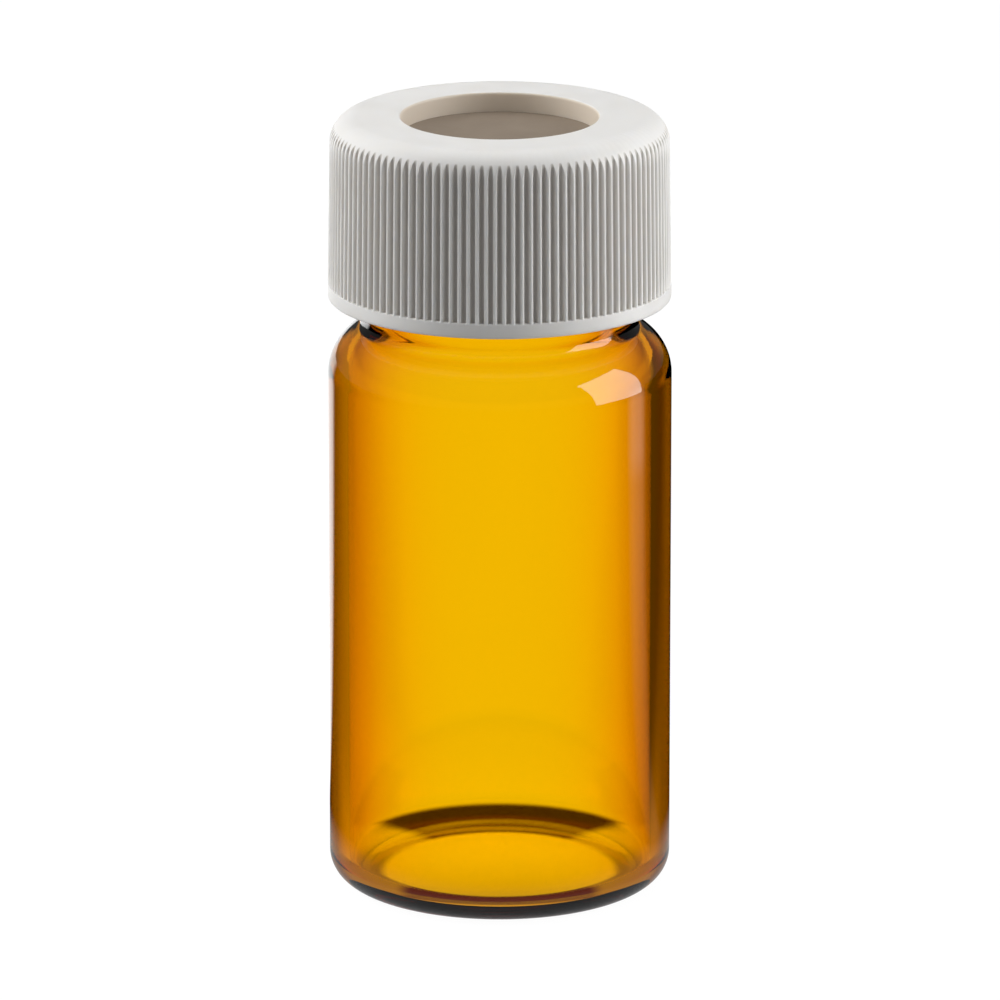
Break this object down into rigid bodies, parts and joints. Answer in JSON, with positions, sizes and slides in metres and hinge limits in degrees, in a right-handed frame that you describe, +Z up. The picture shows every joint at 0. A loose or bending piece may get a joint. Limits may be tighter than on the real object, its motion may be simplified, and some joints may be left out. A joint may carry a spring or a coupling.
{
  "type": "glass sample vial",
  "caption": "Amber glass sample vial with a screw neck, a ribbed open-top screw cap and a soft septum under its hole; unscrewing the cap lifts it off.",
  "frame": {"origin": "centre of the ring that the vial stands on, on the floor", "axes": "+Z up along the vial's axis, from its base to its cap; X and Y are alike"},
  "size_m": [0.0274, 0.0274, 0.0632],
  "materials": {
    "amber_glass": "clear amber, smooth",
    "septum_rubber": "soft matt, taupe",
    "white_polypropylene": "moulded, satin"
  },
  "bodies": {
    "vial": {"glass_vial": "amber_glass"},
    "septum": {"septum": "septum_rubber"},
    "cap": {"screw_cap": "white_polypropylene"}
  },
  "joints": [
    {"name": "cap_lift", "type": "slide", "parent": "vial", "child": "septum", "axis": [0, 0, 1], "range_m": [0, 0.0127]},
    {"name": "cap_turn", "type": "hinge", "parent": "septum", "child": "cap", "pos_m": [0, 0, 0.056], "axis": [0, 0, 1], "range_deg": [0, 1440]}
  ],
  "couplings": [
    {"joint": "cap_lift", "follows": "cap_turn", "m_per_rad": 0.00050532}
  ]
}
